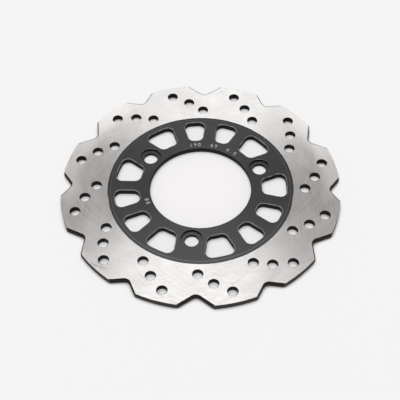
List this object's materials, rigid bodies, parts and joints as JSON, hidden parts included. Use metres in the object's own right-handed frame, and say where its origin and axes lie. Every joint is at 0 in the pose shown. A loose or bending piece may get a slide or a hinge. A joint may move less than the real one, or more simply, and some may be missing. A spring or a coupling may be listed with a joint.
{
  "type": "brake disc",
  "caption": "Flat scalloped brake disc: a drilled, ground steel friction ring around a black windowed carrier that bolts to a wheel hub.",
  "frame": {"origin": "on the disc's axis, at the carrier's hub face, which the disc also rests on", "axes": "+Z along the disc's axis, out of the counterbored face; -Y through the first bolt hole"},
  "size_m": [0.19, 0.19, 0.0044],
  "materials": {
    "ground_steel": "ground, with fine crossing grinding marks",
    "black_coating": "satin black coating"
  },
  "bodies": {
    "root": {"friction_ring": "ground_steel", "carrier": "black_coating"}
  },
  "joints": []
}
